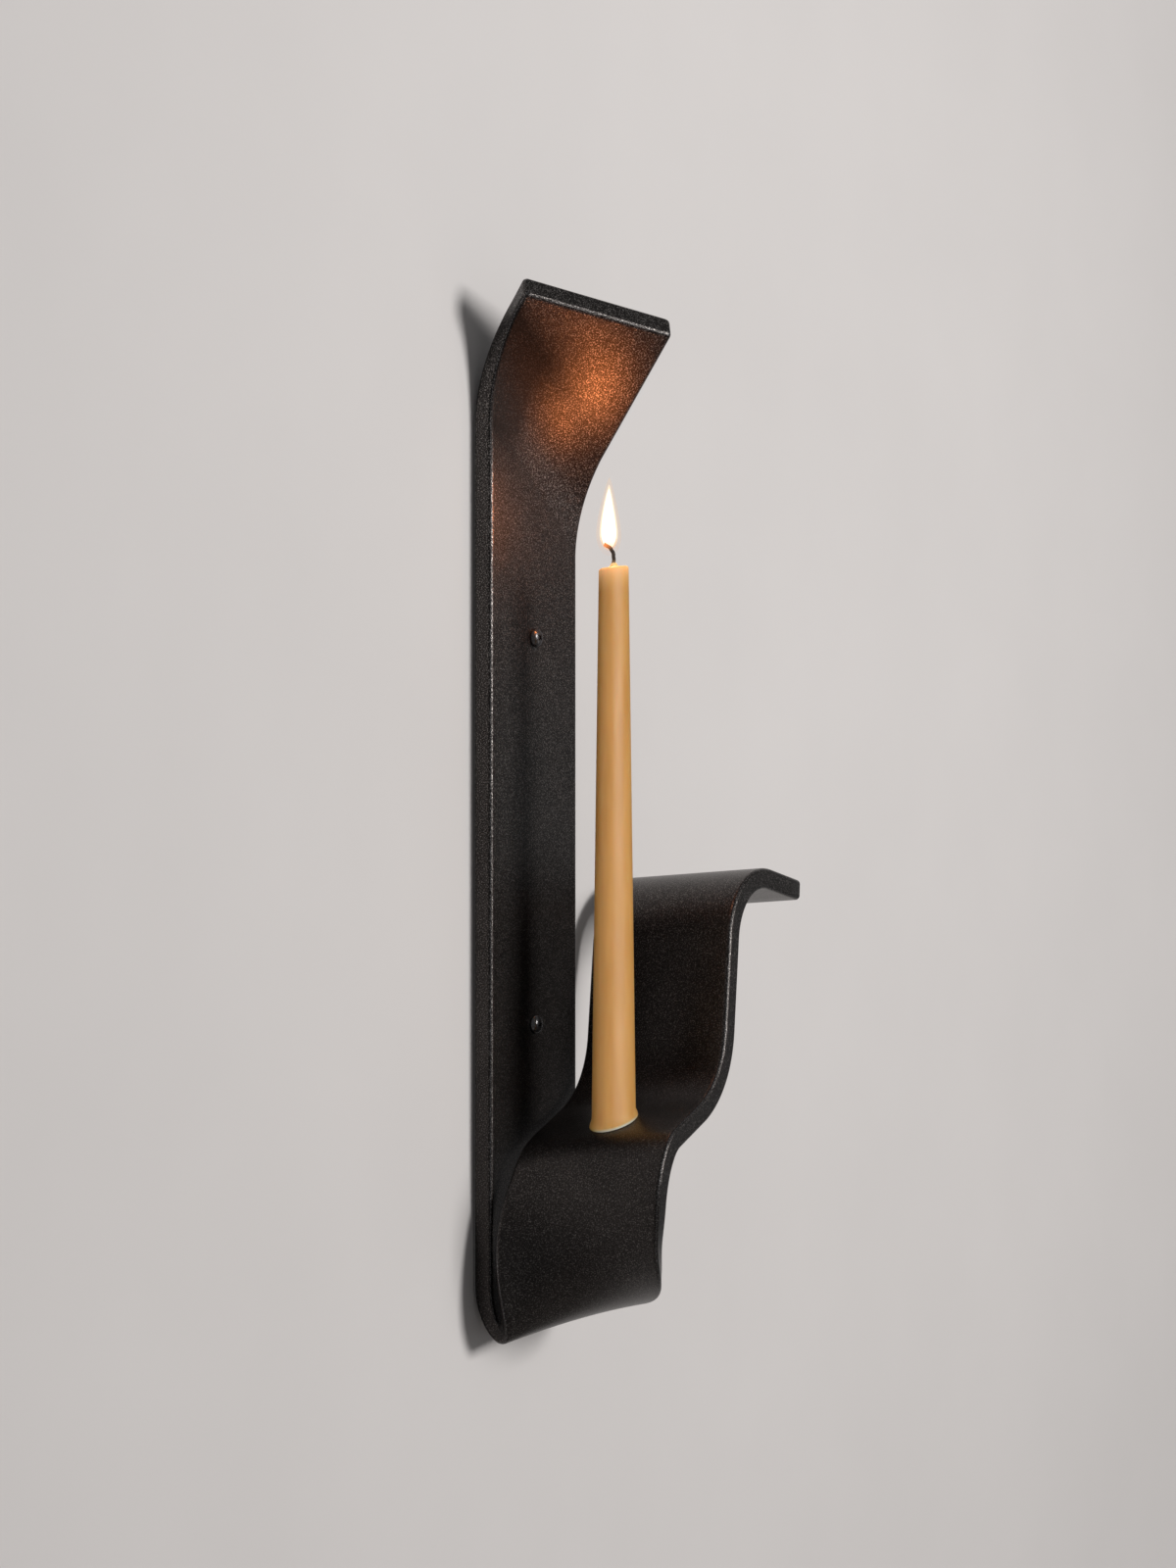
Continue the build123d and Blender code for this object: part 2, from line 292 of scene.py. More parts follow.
WAX_SHOWN = (0.56, 0.33, 0.13, 1)
WAX_GRAIN = (650, 45)
WAX_STRETCH = (1, 1, 0.12)
WAX_STREAKS = 220.0
WAX_STREAK_RANGE = (0.35, 0.65)
WAX_COLOURS = ((0.53, 0.260, 0.064, 1), (0.59, 0.307, 0.086, 1))
WAX_MOTTLED = (0.59, 0.34, 0.11, 1)
WAX_MOTTLED_SHARE = 0.35
WAX_PALE = (0.66, 0.55, 0.40, 1)
WAX_PALE_FOOT = (0.72, 1.0)
WAX_PALE_BLOTCH = (0.2, 0.7)
WAX_ROUGH = (0.42, 0.54)
WAX_GLOW = (0.42, 0.26, 0.13, 1)
WAX_GLOW_POWER = 2.0
WAX_DEEP = 0.75
WAX_DEEP_RADIUS = (1.0, 0.58, 0.32)
WAX_DEEP_SCALE = 0.008
WAX_BUMP = (0.06, 0.0003)

WICK_SHOWN = (0.03, 0.022, 0.018, 1)
WICK_GRAIN = (2600, 500)
WICK_COTTON = ((0.36, 0.25, 0.13, 1), (0.50, 0.36, 0.20, 1))
WICK_CHAR = ((0.010, 0.008, 0.007, 1), (0.050, 0.038, 0.030, 1))
WICK_CHAR_BLEND = 0.0015
WICK_ROUGH = (0.7, 0.95)
WICK_BUMP = (0.5, 0.0003)
EMBER_COLOUR = (1.0, 0.26, 0.045, 1)
EMBER_STARTS = 0.0042
EMBER_FULL = 0.0012
EMBER_STRENGTH = 0.9

SCREW_SHOWN = (0.02, 0.02, 0.022, 1)
SCREW_GRAIN = (1800, 160)
SCREW_COLOURS = ((0.085, 0.085, 0.090, 1), (0.165, 0.162, 0.162, 1))
SCREW_METALLIC = 0.9
SCREW_ROUGH = (0.17, 0.28)
SCREW_BUMP = (0.12, 0.0002)

STEEL_SHOWN = (0.42, 0.41, 0.40, 1)
STEEL_GRAIN = (1500, 120)
STEEL_COLOURS = ((0.36, 0.35, 0.34, 1), (0.50, 0.49, 0.48, 1))
STEEL_ROUGH = (0.26, 0.40)
STEEL_RINGS = 900.0
STEEL_RING_WAVER = 0.6
STEEL_BUMP = (0.15, 0.0001)

PLASTER_GRAIN = (700, 6)
PLASTER_DARKER = 0.97
PLASTER_ROUGH = 0.9
PLASTER_SHEEN = 0.2
PLASTER_BUMP = (0.05, 0.0003)

ACROSS = Vector((1, 0, 0))
ROOM = Vector((0, -1, 0))
UP = Vector((0, 0, 1))


def ease(share):
    """Smooth step from 0 to 1."""
    share = min(max(share, 0), 1)
    return share * share * (3 - 2 * share)


def station(place, across, facing, width=1):
    """Matrix that lays the bar's section at a place: across the bar, through it and along it."""
    along = across.cross(facing).normalized()
    columns = (across.normalized() * width, facing, along, place)
    made = Matrix.Identity(4)
    for column, vector in enumerate(columns):
        for row in range(3):
            made[row][column] = vector[row]
    return made


def finished(name, bm, material, body):
    """A finished piece: faces outwards and smooth, in its material, riding on a body."""
    bmesh.ops.recalc_face_normals(bm, faces=bm.faces[:])
    mesh = bpy.data.meshes.new(name)
    bm.to_mesh(mesh)
    bm.free()
    for face in mesh.polygons:
        face.use_smooth = True
    piece = bpy.data.objects.new(name, mesh)
    bpy.context.scene.collection.objects.link(piece)
    piece.data.materials.append(material)
    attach(piece, body)
    return piece


def sharpen(bm, angle):
    """Marks the edges that turn by more than an angle as sharp."""
    for edge in bm.edges:
        if len(edge.link_faces) == 2 and edge.calc_face_angle(0) > angle:
            edge.smooth = False


def turned(bm, profile, place, axis, steps):
    """Spins a profile of (radius, height) pairs round an axis that starts at a place."""
    side = axis.orthogonal().normalized()
    points = [bm.verts.new(place + side * radius + axis * height) for radius, height in profile]
    edges = [bm.edges.new(pair) for pair in zip(points, points[1:])]
    bmesh.ops.spin(
        bm, geom=points + edges, cent=place, axis=axis, angle=2 * pi, steps=steps, use_merge=True
    )
    bmesh.ops.remove_doubles(bm, verts=bm.verts[:], dist=SAME_PLACE)


def drawn(bm, section, stations, marks):
    """Extrudes a section from station to station, marking its verts with the length passed."""
    bmesh.ops.transform(bm, matrix=stations[0], verts=section.verts[:])
    length = 0
    for before, after in zip(stations, stations[1:]):
        length += (after.translation - before.translation).length
        grown = bmesh.ops.extrude_face_region(bm, geom=[section])["geom"]
        section = next(part for part in grown if isinstance(part, bmesh.types.BMFace))
        bmesh.ops.transform(bm, matrix=after @ before.inverted(), verts=section.verts[:])
        for vert in section.verts:
            vert[marks] = length
    bmesh.ops.recalc_face_normals(bm, faces=bm.faces[:])


FOLD_UP = Vector((sin(HOOD_SLANT), 0, cos(HOOD_SLANT)))


def rolled(x, z):
    """Place at half the bar's thickness, and room-side normal, of a point of the flat bar."""
    past_fold = FOLD_UP.dot(Vector((x + BAR_WIDTH / 2, 0, z - HOOD_FOLD_Z)))
    angle = min(max(past_fold / HOOD_R, 0), HOOD_ANGLE)
    straight = max(past_fold - HOOD_R * HOOD_ANGLE, 0)
    up = HOOD_R * sin(angle) + straight * cos(angle) - max(past_fold, 0)
    out = HOOD_R * (1 - cos(angle)) + straight * sin(angle)
    place = Vector((x, -BAR_THICK / 2, z)) + FOLD_UP * up + ROOM * out
    return place, ROOM * cos(angle) - FOLD_UP * sin(angle)


def ruling(left_z, right_z):
    """Section along a straight line across the rolled bar: place, direction, facing, width."""
    left, facing = rolled(-BAR_WIDTH / 2, left_z)
    right = rolled(BAR_WIDTH / 2, right_z)[0]
    across = right - left
    return (left + right) / 2, across.normalized(), facing, across.length / BAR_WIDTH


FOLD_RUNS = (
    (FOLD_BACK_R * radians(90), radians(90)),
    (FOLD_FRONT_R * radians(90), radians(180)),
    (LOWER_PANEL, radians(180)),
    (SHELF_R * SHELF_PITCH, radians(180) + SHELF_PITCH),
)
BOTTOM_AT = FOLD_RUNS[0][0]
FRONT_AT = BOTTOM_AT + FOLD_RUNS[1][0]
SHELF_AT = FRONT_AT + FOLD_RUNS[2][0] + FOLD_RUNS[3][0]


def fold_directions(length, pitch):
    """Directions across and along the bar, at a length past the start of the fold."""
    turn = FOLD_TURN * ease(length / FOLD_TWIST_LENGTH)
    tilt = BOTTOM_TILT * ease(length / BOTTOM_AT)
    tilt += (FRONT_TILT - BOTTOM_TILT) * ease((length - BOTTOM_AT) / (FRONT_AT - BOTTOM_AT))
    tilt += (SHELF_TILT - FRONT_TILT) * ease((length - FRONT_AT) / (SHELF_AT - FRONT_AT))
    across = Vector((cos(tilt) * cos(turn), -cos(tilt) * sin(turn), sin(tilt)))
    down = Vector((sin(tilt) * cos(turn), -sin(tilt) * sin(turn), -cos(tilt)))
    outward = Vector((-sin(turn), -cos(turn), 0))
    return across, down * cos(pitch) + outward * sin(pitch)


def fold_stations():
    """Sections from the start of the fold to the start of the shelf."""
    passed, pitch = 0, 0
    centre = Vector((0, -BAR_THICK / 2, -FOLD_START))
    marks = []
    for run_length, end_pitch in FOLD_RUNS:
        steps = FOLD_MARCH * ceil(run_length / STATION_GAP)
        for step in range(steps):
            middle = (step + 0.5) / steps
            middle_pitch = pitch + middle * (end_pitch - pitch)
            along = fold_directions(passed + middle * run_length, middle_pitch)[1]
            centre = centre + along * (run_length / steps)
            if (step + 1) % FOLD_MARCH == 0:
                done = (step + 1) / steps
                done_pitch = pitch + done * (end_pitch - pitch)
                marks.append((passed + done * run_length, done_pitch, centre))
        passed, pitch = passed + run_length, end_pitch
    # The left edge of the turned bar clears the back plate where the fold ends
    across = fold_directions(FRONT_AT, radians(180))[0]
    front = min(marks, key=lambda mark: abs(mark[0] - FRONT_AT))[2]
    outward = (front - across * (BAR_WIDTH / 2)).y + BAR_THICK + FOLD_CLEARANCE
    stations = []
    for length, pitch, centre in marks:
        across, along = fold_directions(length, pitch)
        place = centre + ROOM * (outward * ease(length / FRONT_AT))
        stations.append(station(place, across, along.cross(across)))
    return stations


def front_stations(start):
    """Sections along the shelf, neck, upper panel and lip."""
    here = start.copy()
    stations = []
    runs = (
        (SHELF_LENGTH, 0),
        (NECK_R * (SHELF_PITCH - PANEL_PITCH), SHELF_PITCH - PANEL_PITCH),
        (UPPER_PANEL, 0),
        (LIP_R * (LIP_PITCH - PANEL_PITCH), PANEL_PITCH - LIP_PITCH),
        (LIP_LENGTH - END_R, 0),
    )
    for length, bend in runs:
        steps = ceil(length / (STATION_GAP if bend else STRAIGHT_GAP))
        part = length / steps
        for _ in range(steps):
            half_turn = Matrix.Rotation(bend / steps / 2, 4, "X")
            chord = part * (sin(bend / steps / 2) / (bend / steps / 2) if bend else 1)
            here = here @ half_turn @ Matrix.Translation((0, 0, chord)) @ half_turn
            stations.append(here.copy())
    return stations


def rounded_end(last, outwards):
    """Sections that round off the end of the bar."""
    stations = []
    for step in range(1, END_STEPS + 1):
        angle = radians(90) * step / END_STEPS
        shrink = END_R * (1 - cos(angle))
        scale = Matrix.Diagonal((1 - 2 * shrink / BAR_WIDTH, 1 - 2 * shrink / BAR_THICK, 1, 1))
        stations.append(last @ Matrix.Translation((0, 0, outwards * END_R * sin(angle))) @ scale)
    return stations


def bar_stations():
    """Every section of the bar, from the end of the hood to the end of the lip."""
    left_z = HOOD_FLAT_TOP - BAR_THICK * tan(HOOD_END_ANGLE) / 2
    place, across, facing, width = ruling(left_z, left_z + HOOD_RIGHT_LONGER)
    slant_cut = Matrix.Identity(4)
    slant_cut[2][1] = tan(HOOD_END_ANGLE)
    end = station(place, across, facing, width)
    inner_end = end @ Matrix.Translation((0, 0, END_R)) @ slant_cut
    stations = rounded_end(inner_end, -1)[::-1] + [inner_end]
    drop = BAR_WIDTH * tan(HOOD_SLANT)
    rolls = ceil(HOOD_R * HOOD_ANGLE / STATION_GAP)
    for roll in range(rolls, -1, -1):
        left_z = HOOD_FOLD_Z + HOOD_R * HOOD_ANGLE * roll / rolls / cos(HOOD_SLANT)
        place, across, facing, width = ruling(left_z, left_z - drop)
        stations.append(station(place, across, facing, width))
    square_z = HOOD_FOLD_Z - drop - HOOD_SQUARE_BELOW
    for step in range(PLATE_STEPS + 1):
        z = square_z + (-FOLD_START - square_z) * step / PLATE_STEPS
        stations.append(station(Vector((0, -BAR_THICK / 2, z)), ACROSS, ROOM))
    fold = fold_stations()
    front = front_stations(fold[-1])
    return stations + fold + front + rounded_end(front[-1], 1), fold[-1]


def round_cutter(bm, place, axis, radius, depth):
    """A plain round cutter along an axis."""
    turn = axis.to_track_quat("Z", "Y").to_matrix().to_4x4()
    bmesh.ops.create_cone(
        bm, cap_ends=True, segments=CUTTER_STEPS, radius1=radius, radius2=radius, depth=depth,
        matrix=Matrix.Translation(place) @ turn,
    )


def cut_by(bm, cutter):
    """A bmesh with a cutter's solid taken out of it."""
    blanks = []
    for solid in (bm, cutter):
        mesh = bpy.data.meshes.new("blank")
        solid.to_mesh(mesh)
        solid.free()
        blanks.append(bpy.data.objects.new("blank", mesh))
        bpy.context.scene.collection.objects.link(blanks[-1])
    cut = blanks[0].modifiers.new("cut", "BOOLEAN")
    cut.operation = "DIFFERENCE"
    cut.solver = "EXACT"
    cut.object = blanks[1]
    depsgraph = bpy.context.evaluated_depsgraph_get()
    result = bmesh.new()
    result.from_mesh(bpy.data.meshes.new_from_object(blanks[0].evaluated_get(depsgraph)))
    for blank in blanks:
        bpy.data.objects.remove(blank)
    return result


def weigh_normals(piece):
    """Keeps the flats of a piece flat where they meet rounded edges."""
    weighted = piece.modifiers.new("weighted", "WEIGHTED_NORMAL")
    weighted.keep_sharp = True


def make_bar(material, stations, seat):
    """The bent bar: one rounded section drawn from the end of the hood to the end of the lip."""
    bm = bmesh.new()
    arris = bm.verts.layers.float.new("arris")
    along = bm.verts.layers.float.new("along")
    room_side = bm.verts.layers.float.new("room_side")
    half_width, half_thick = BAR_WIDTH / 2, BAR_THICK / 2
    corners = [
        bm.verts.new((x * half_width, y * half_thick, 0))
        for x, y in ((-1, -1), (1, -1), (1, 1), (-1, 1))
    ]
    bm.faces.new(corners)
    bmesh.ops.bevel(
        bm, geom=corners, affect="VERTICES", offset=ARRIS_R, segments=ARRIS_STEPS, profile=0.5,
        material=-1,
    )
    narrow = [edge for edge in bm.edges if ARRIS_R < edge.calc_length() < BAR_THICK]
    wide = [edge for edge in bm.edges if edge.calc_length() > half_width]
    bmesh.ops.subdivide_edges(bm, edges=narrow, cuts=SIDE_CUTS)
    bmesh.ops.subdivide_edges(bm, edges=wide, cuts=ACROSS_CUTS)
    section = bmesh.ops.dissolve_faces(bm, faces=bm.faces[:])["region"][0]
    for vert in bm.verts:
        past_face = (abs(vert.co.x) - half_width) / ARRIS_R + 1
        past_side = (abs(vert.co.y) - half_thick) / ARRIS_R + 1
        vert[arris] = min(max(min(past_face, past_side), 0) / sin(radians(45)), 1)
        vert[room_side] = ease((vert.co.y - half_thick) / ARRIS_R + 1)
    drawn(bm, section, stations, along)
    total = max(vert[along] for vert in bm.verts)
    for vert in bm.verts:
        from_end = min(vert[along], total - vert[along])
        at_end = 1 - abs(from_end / END_R - END_RUBBED_AT) / END_RUBBED_REACH
        vert[arris] = max(vert[arris], at_end, 0)
        vert[room_side] *= ease(from_end / END_R - 1)
    cutter = bmesh.new()
    for height in SCREW_HEIGHTS:
        round_cutter(cutter, Vector((0, -BAR_THICK / 2, height)), ROOM, SCREW_HOLE_R, BAR_THICK * 2)
    bore = SPIKE_IN_BAR + SPIKE_R * 2
    round_cutter(cutter, seat + UP * (bore / 2 - SPIKE_IN_BAR), UP, SPIKE_R + PRESS_CLEARANCE, bore)
    bm = cut_by(bm, cutter)
    sharpen(bm, BAR_SHARP)
    surface = BVHTree.FromBMesh(bm)
    bar = finished("bent_bar_iron", bm, material, "holder")
    weigh_normals(bar)
    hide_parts("bent_bar")
    return bar, surface


def make_candle(material, seat, surface):
    """The taper: a turned column with bores for spike and wick, its foot melted on to the shelf."""
    bore_r = SPIKE_R + SEAT_CLEARANCE
    profile = [
        (0, SPIKE_ABOVE + SEAT_CLEARANCE),
        (SPIKE_TIP_R + SEAT_CLEARANCE, SPIKE_ABOVE + SEAT_CLEARANCE),
        (bore_r, SPIKE_STRAIGHT + SEAT_CLEARANCE),
        (bore_r, 0),
        *((WAX_FOOT_R * share, 0) for share in WAX_FOOT_RINGS),
    ]
    for ring in range(1, CANDLE_RINGS + 1):
        height = (CANDLE_HEIGHT - CANDLE_TOP_EDGE) * (ring / CANDLE_RINGS) ** CANDLE_CROWDING
        radius = CANDLE_FOOT_R + (CANDLE_TOP_R - CANDLE_FOOT_R) * height / CANDLE_HEIGHT
        radius += (WAX_FOOT_R - CANDLE_FOOT_R) * (1 - ease(height / WAX_FOOT_H))
        profile.append((radius, height))
    for step in range(1, CANDLE_EDGE_STEPS + 1):
        angle = radians(90) * step / CANDLE_EDGE_STEPS
        radius = CANDLE_TOP_R - CANDLE_TOP_EDGE * (1 - cos(angle))
        profile.append((radius, CANDLE_HEIGHT - CANDLE_TOP_EDGE * (1 - sin(angle))))
    wick_bore_r = WICK_R + WICK_CLEARANCE
    profile += [
        (CANDLE_TOP_R * WAX_DISH_AT, CANDLE_HEIGHT - WAX_DISH),
        (WAX_CONE_R, CANDLE_HEIGHT),
        (WAX_CONE_R * WAX_WAIST[0], CANDLE_HEIGHT + WAX_CONE_H * WAX_WAIST[1]),
        (wick_bore_r + WAX_LIP[0], CANDLE_HEIGHT + WAX_CONE_H * WAX_LIP[1]),
        (wick_bore_r, CANDLE_HEIGHT + WAX_CONE_H),
        (wick_bore_r, WICK_FOOT),
        (0, WICK_FOOT),
    ]
    bm = bmesh.new()
    foot = bm.verts.layers.float.new("foot")
    turned(bm, profile, seat, UP, CANDLE_STEPS)
    for vert in bm.verts:
        height = vert.co.z - seat.z
        vert[foot] = 1 - ease(height / WAX_FOOT_H)
        if height < CANDLE_SETTLED and (vert.co - seat).xy.length > SPIKE_R:
            above = Vector((vert.co.x, vert.co.y, seat.z + CANDLE_SETTLED))
            shelf = surface.ray_cast(above, -UP)[0]
            vert.co.z += (shelf.z + SEAT_CLEARANCE - seat.z) * (1 - ease(height / CANDLE_SETTLED))
        lean = ease((height - CANDLE_HEIGHT + CANDLE_TOP_MELT) / CANDLE_TOP_MELT)
        vert.co.z += lean * CANDLE_TOP_SLOPE * (vert.co - seat).dot(rightward)
    sharpen(bm, CANDLE_SHARP)
    candle = finished("candle_wax", bm, material, "candle")
    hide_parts("candle")
    return candle


def make_wick(material, seat):
    """The wick: three twisted strands drawn up through the candle and bent over at the top."""
    bm = bmesh.new()
    along = bm.verts.layers.float.new("along")
    made = bmesh.ops.create_circle(bm, cap_ends=True, segments=WICK_STEPS, radius=WICK_R)
    for number, vert in enumerate(made["verts"]):
        vert.co *= 1 - WICK_GROOVE * (0.5 - 0.5 * cos(WICK_STRANDS * 2 * pi * number / WICK_STEPS))
    side = Vector((cos(WICK_LEAN), sin(WICK_LEAN), 0))
    here = station(seat + UP * WICK_FOOT, side, UP.cross(side))
    straight = CANDLE_HEIGHT + WICK_STRAIGHT - WICK_FOOT
    stations = [here.copy()]
    for length, bend in ((straight, 0), (WICK_BEND_R * WICK_BEND, WICK_BEND)):
        steps = ceil(length / WICK_GAP)
        for _ in range(steps):
            half_turn = Matrix.Rotation(bend / steps / 2, 4, "Y")
            here = here @ half_turn @ Matrix.Translation((0, 0, length / steps)) @ half_turn
            stations.append(here.copy())
    for step in range(1, WICK_TIP_STEPS + 1):
        angle = radians(90) * step / WICK_TIP_STEPS
        sunk = Matrix.Translation((0, 0, -WICK_TIP_SINK * (1 - sin(angle))))
        narrowed = max(cos(angle), WICK_TIP_LEAST)
        stations.append(here @ sunk @ Matrix.Diagonal((narrowed, narrowed, 1, 1)))
    twisted = [
        matrix @ Matrix.Rotation(WICK_TWIST * number, 4, "Z")
        for number, matrix in enumerate(stations)
    ]
    drawn(bm, bm.faces[:][0], twisted, along)
    wick = finished("wick_cotton", bm, material, "candle")
    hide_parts("wick")
    return wick


def make_flame(foot):
    """The flame: a white core inside two thin glowing shells."""
    middle = FLAME_HEIGHT * FLAME_GROWS_FROM
    for name, look, size, low, high, strength, thickness in FLAME_LAYERS:
        taller = 1 + (size - 1) * FLAME_TALLER
        profile = [
            (radius * size, middle + (height - middle) * taller) for radius, height in FLAME_PROFILE
        ]
        bm = bmesh.new()
        turned(bm, profile, foot, UP, FLAME_STEPS)
        for vert in bm.verts:
            vert.co -= rightward * FLAME_SWAY * sin(pi * (vert.co.z - foot.z) / FLAME_HEIGHT)
        flame = finished(name, bm, flame_material(look, low, high, strength, thickness), "candle")
        rounded = flame.modifiers.new("rounded", "SUBSURF")
        rounded.levels = rounded.render_levels = 1
        # The shells would shade the flame's own lamps
        flame.visible_shadow = False


def make_screws(material):
    """Two pan-head screws: turned heads with a cross recess, helical threads on tapered cores."""
    bm = bmesh.new()
    for height, turn in zip(SCREW_HEIGHTS, SCREW_TURNS):
        face = Vector((0, -BAR_THICK, height))
        head = bmesh.new()
        turned(head, HEAD_PROFILE + SHANK_PROFILE, face, ROOM, CUTTER_STEPS)
        bmesh.ops.recalc_face_normals(head, faces=head.faces[:])
        for quarter in (0, 1):
            cutter = bmesh.new()
            bmesh.ops.create_cube(cutter, size=2)
            for vert in cutter.verts:
                narrowing = RECESS_NARROWING if vert.co.z < 0 else 1
                vert.co = Vector((
                    vert.co.x * RECESS_R * narrowing,
                    vert.co.y * RECESS_HALF_WIDTH * narrowing,
                    vert.co.z * RECESS_DEPTH,
                ))
            facing = ROOM.to_track_quat("Z", "Y").to_matrix().to_4x4()
            lay = Matrix.Translation(face + ROOM * HEAD_H) @ facing
            lay = lay @ Matrix.Rotation(turn + quarter * pi / 2, 4, "Z")
            bmesh.ops.transform(cutter, matrix=lay, verts=cutter.verts[:])
            head = cut_by(head, cutter)
        wall = Vector((0, 0, height))
        turns = (SCREW_IN_WALL - THREAD_PITCH * THREAD_SHORT) / THREAD_PITCH
        steps = round(turns * THREAD_STEPS)
        flank = THREAD_PITCH * THREAD_FLANK
        points = [
            head.verts.new(wall + UP * radius + Vector((0, depth, 0)))
            for radius, depth in ((THREAD_ROOT_R, 0), (THREAD_R, flank), (THREAD_ROOT_R, flank * 2))
        ]
        ridge = [head.edges.new(pair) for pair in zip(points, points[1:])]
        bmesh.ops.spin(
            head, geom=points + ridge, cent=wall, axis=-ROOM, angle=2 * pi * turns, steps=steps,
            dvec=-ROOM * (turns * THREAD_PITCH / steps), use_merge=False,
        )
        for vert in head.verts:
            if vert.co.y > 0:
                left = (SCREW_IN_WALL - vert.co.y) / SCREW_POINT
                run_in = THREAD_START + vert.co.y / THREAD_PITCH / THREAD_RUN_IN
                narrowing = min(max(left, SCREW_TIP), 1) ** SCREW_TAPER * min(run_in, 1)
                middle = Vector((0, vert.co.y, height))
                vert.co = middle + (vert.co - middle) * narrowing
        sharpen(head, SCREW_SHARP)
        mesh = bpy.data.meshes.new("blank")
        head.to_mesh(mesh)
        head.free()
        bm.from_mesh(mesh)
    screws = finished("wall_screws_black", bm, material, "holder")
    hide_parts("wall_screws")
    return screws


def make_spike(material, seat):
    """The spike pressed into the shelf: a turned pin with a long point."""
    bm = bmesh.new()
    profile = [
        (0, -SPIKE_IN_BAR),
        (SPIKE_R - SPIKE_CHAMFER, -SPIKE_IN_BAR),
        (SPIKE_R, -SPIKE_IN_BAR + SPIKE_CHAMFER),
        (SPIKE_R, SPIKE_STRAIGHT - SPIKE_BLEND),
        (SPIKE_R * SPIKE_SHOULDER, SPIKE_STRAIGHT + SPIKE_BLEND),
        (SPIKE_TIP_R, SPIKE_ABOVE - SPIKE_BLEND),
        (SPIKE_TIP_R * SPIKE_TIP_ROUND[0], SPIKE_ABOVE - SPIKE_TIP_ROUND[1]),
        (0, SPIKE_ABOVE),
    ]
    turned(bm, profile, seat, UP, SPIKE_STEPS)
    sharpen(bm, SPIKE_SHARP)
    spike = finished("candle_spike_steel", bm, material, "holder")
    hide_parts("candle_spike")
    return spike


def connect(tree, socket, value):
    """Gives a socket its value, or links it to the socket that feeds it."""
    if isinstance(value, bpy.types.NodeSocket):
        tree.links.new(value, socket)
    else:
        socket.default_value = value


def put(tree, kind, inputs=(), **settings):
    """Adds a node with its own settings, and its sockets' values or what feeds them."""
    made = tree.nodes.new(kind)
    for name, value in settings.items():
        setattr(made, name, value)
    for key, value in dict(inputs).items():
        connect(tree, made.inputs[key], value)
    return made


def colour_between(tree, share, low, high):
    """A colour between two others, by a share from 0 to 1. Each may be a socket."""
    made = put(tree, "ShaderNodeMix", data_type="RGBA")
    for number, value in ((0, share), (6, low), (7, high)):
        connect(tree, made.inputs[number], value)
    return made.outputs[2]


def spread(tree, value, low, high, new_low=0.0, new_high=1.0):
    """A value mapped from one range to another, held at its ends."""
    made = put(tree, "ShaderNodeMapRange", {
        "Value": value, "From Min": low, "From Max": high, "To Min": new_low, "To Max": new_high,
    })
    return made.outputs["Result"]


def sums(tree, operation, first, second):
    """Two values put together."""
    return put(tree, "ShaderNodeMath", {0: first, 1: second}, operation=operation).outputs[0]


def grain_group():
    """Surface grain: fine pits and grains over broad blotches, at sizes given per metre."""
    tree = bpy.data.node_groups.new("surface_grain", "ShaderNodeTree")
    for name, kind in (("Vector", "Vector"), ("Fine", "Float"), ("Broad", "Float")):
        tree.interface.new_socket(name, in_out="INPUT", socket_type="NodeSocket" + kind)
    for name in ("Height", "Grain", "Blotch"):
        tree.interface.new_socket(name, in_out="OUTPUT", socket_type="NodeSocketFloat")
    taken = put(tree, "NodeGroupInput").outputs
    fine = put(tree, "ShaderNodeTexNoise", {
        "Vector": taken["Vector"], "Scale": taken["Fine"], "Detail": 2.0, "Roughness": 0.6,
    })
    pits = put(tree, "ShaderNodeTexVoronoi", {"Vector": taken["Vector"], "Scale": taken["Fine"]})
    broad = put(tree, "ShaderNodeTexNoise", {
        "Vector": taken["Vector"], "Scale": taken["Broad"], "Detail": 3.0, "Roughness": 0.55,
    })
    pitted = sums(tree, "MULTIPLY", pits.outputs["Distance"], PIT_DEPTH)
    put(tree, "NodeGroupOutput", {
        "Height": sums(tree, "ADD", fine.outputs[0], pitted),
        "Grain": spread(tree, fine.outputs[0], *NOISE_RANGE),
        "Blotch": spread(tree, broad.outputs[0], *NOISE_RANGE),
    })
    return tree


def blank_material(name, colour):
    """A material with an empty tree: its tree, its Principled shader and its output."""
    material = bpy.data.materials.new(name)
    material.diffuse_color = colour
    material.use_nodes = True
    tree = material.node_tree
    tree.nodes.clear()
    shader = put(tree, "ShaderNodeBsdfPrincipled")
    put(tree, "ShaderNodeOutputMaterial", {"Surface": shader.outputs[0]})
    return material, tree, shader


def grain_on(tree, grain, fine, broad):
    """The grain group laid on the piece by its own frame."""
    place = put(tree, "ShaderNodeTexCoord").outputs["Object"]
    sizes = {"Vector": place, "Fine": fine, "Broad": broad}
    return put(tree, "ShaderNodeGroup", sizes, node_tree=grain).outputs


def feed(tree, shader, **links):
    """Feeds a shader's sockets, given by name with underscores."""
    for name, value in links.items():
        connect(tree, shader.inputs[name.replace("_", " ")], value)


def bump(tree, height, strength, distance):
    """A bump normal from a height."""
    shape = {"Height": height, "Strength": strength, "Distance": distance}
    return put(tree, "ShaderNodeBump", shape).outputs[0]


